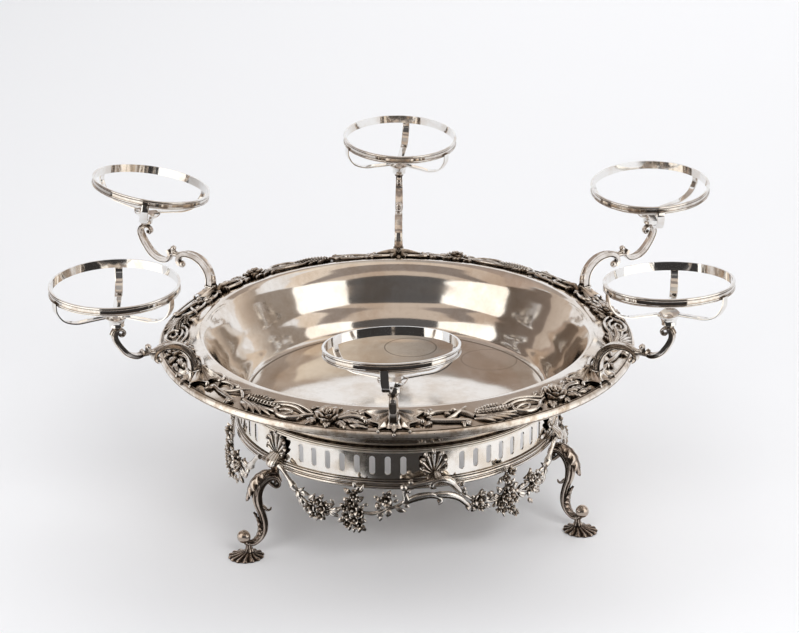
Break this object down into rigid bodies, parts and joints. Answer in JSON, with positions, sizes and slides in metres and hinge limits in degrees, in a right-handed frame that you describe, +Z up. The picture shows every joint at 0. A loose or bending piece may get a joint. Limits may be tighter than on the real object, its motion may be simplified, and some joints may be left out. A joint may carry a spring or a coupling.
{
  "type": "table centerpiece",
  "caption": "Footed silver-plated centerpiece bowl on a pierced gallery with festoons, with scrolled lift-out arms that carry turning rings for small dishes.",
  "frame": {"origin": "on the axis of the bowl, in the plane that the feet stand on", "axes": "+Z up through the bowl, -Y towards the first arm, +X to its right as seen from in front"},
  "size_m": [0.561, 0.6281, 0.2649],
  "materials": {
    "bright_plate": "polished silver plate with warm tarnish",
    "ring_plate": "polished silver plate",
    "tarnished_plate": "silver plate, worn and toned",
    "oxidised_casting": "cast silver plate with dark recesses"
  },
  "bodies": {
    "base": {"bowl": "bright_plate", "rim_moulding": "bright_plate", "gallery_band": "bright_plate", "gallery_top_moulding": "bright_plate", "gallery_bottom_moulding": "bright_plate", "leg_1": "oxidised_casting", "foot_shell_1": "oxidised_casting", "leg_shell_1": "oxidised_casting", "leg_nut_1": "tarnished_plate", "leg_2": "oxidised_casting", "foot_shell_2": "oxidised_casting", "leg_shell_2": "oxidised_casting", "leg_nut_2": "tarnished_plate", "leg_3": "oxidised_casting", "foot_shell_3": "oxidised_casting", "leg_shell_3": "oxidised_casting", "leg_nut_3": "tarnished_plate", "middle_shell_1": "oxidised_casting", "festoon_1": "oxidised_casting", "middle_shell_2": "oxidised_casting", "festoon_2": "oxidised_casting", "middle_shell_3": "oxidised_casting", "festoon_3": "oxidised_casting", "leaf_socket_1": "oxidised_casting", "border_1": "oxidised_casting", "leaf_socket_2": "oxidised_casting", "border_2": "oxidised_casting", "leaf_socket_3": "oxidised_casting", "border_3": "oxidised_casting", "leaf_socket_4": "oxidised_casting", "border_4": "oxidised_casting", "leaf_socket_5": "oxidised_casting", "border_5": "oxidised_casting", "leaf_socket_6": "oxidised_casting", "border_6": "oxidised_casting"},
    "arm_1": {"arm_1": "tarnished_plate", "cap_nut_1": "tarnished_plate"},
    "holder_1": {"cradle_1": "ring_plate", "dish_ring_1": "ring_plate"},
    "arm_2": {"arm_2": "tarnished_plate", "cap_nut_2": "tarnished_plate"},
    "holder_2": {"cradle_2": "ring_plate", "dish_ring_2": "ring_plate"},
    "arm_3": {"arm_3": "tarnished_plate", "cap_nut_3": "tarnished_plate"},
    "holder_3": {"cradle_3": "ring_plate", "dish_ring_3": "ring_plate"},
    "arm_4": {"arm_4": "tarnished_plate", "cap_nut_4": "tarnished_plate"},
    "holder_4": {"cradle_4": "ring_plate", "dish_ring_4": "ring_plate"},
    "arm_5": {"arm_5": "tarnished_plate", "cap_nut_5": "tarnished_plate"},
    "holder_5": {"cradle_5": "ring_plate", "dish_ring_5": "ring_plate"},
    "arm_6": {"arm_6": "tarnished_plate", "cap_nut_6": "tarnished_plate"},
    "holder_6": {"cradle_6": "ring_plate", "dish_ring_6": "ring_plate"}
  },
  "joints": [
    {"name": "arm_1_lift", "type": "slide", "parent": "base", "child": "arm_1", "axis": [0, 0, 1], "range_m": [0, 0.012]},
    {"name": "holder_1_turn", "type": "hinge", "parent": "arm_1", "child": "holder_1", "pos_m": [0, -0.26, 0.21921], "axis": [-0.026, 0.1115, 0.9934], "continuous": true},
    {"name": "arm_2_lift", "type": "slide", "parent": "base", "child": "arm_2", "axis": [0, 0, 1], "range_m": [0, 0.012]},
    {"name": "holder_2_turn", "type": "hinge", "parent": "arm_2", "child": "holder_2", "pos_m": [0.22352, -0.12905, 0.22241], "axis": [-0.0333, 0.0715, 0.9969], "continuous": true},
    {"name": "arm_3_lift", "type": "slide", "parent": "base", "child": "arm_3", "axis": [0, 0, 1], "range_m": [0, 0.012]},
    {"name": "holder_3_turn", "type": "hinge", "parent": "arm_3", "child": "holder_3", "pos_m": [0.22846, 0.1319, 0.21771], "axis": [-0.0274, -0.0781, 0.9966], "continuous": true},
    {"name": "arm_4_lift", "type": "slide", "parent": "base", "child": "arm_4", "axis": [0, 0, 1], "range_m": [0, 0.012]},
    {"name": "holder_4_turn", "type": "hinge", "parent": "arm_4", "child": "holder_4", "pos_m": [0, 0.2632, 0.22081], "axis": [0.0279, -0.0698, 0.9972], "continuous": true},
    {"name": "arm_5_lift", "type": "slide", "parent": "base", "child": "arm_5", "axis": [0, 0, 1], "range_m": [0, 0.012]},
    {"name": "holder_5_turn", "type": "hinge", "parent": "arm_5", "child": "holder_5", "pos_m": [-0.22915, 0.1323, 0.21741], "axis": [0.1743, 0.0409, 0.9838], "continuous": true},
    {"name": "arm_6_lift", "type": "slide", "parent": "base", "child": "arm_6", "axis": [0, 0, 1], "range_m": [0, 0.012]},
    {"name": "holder_6_turn", "type": "hinge", "parent": "arm_6", "child": "holder_6", "pos_m": [-0.22647, -0.13075, 0.22181], "axis": [-0.0064, -0.0238, 0.9997], "continuous": true}
  ]
}
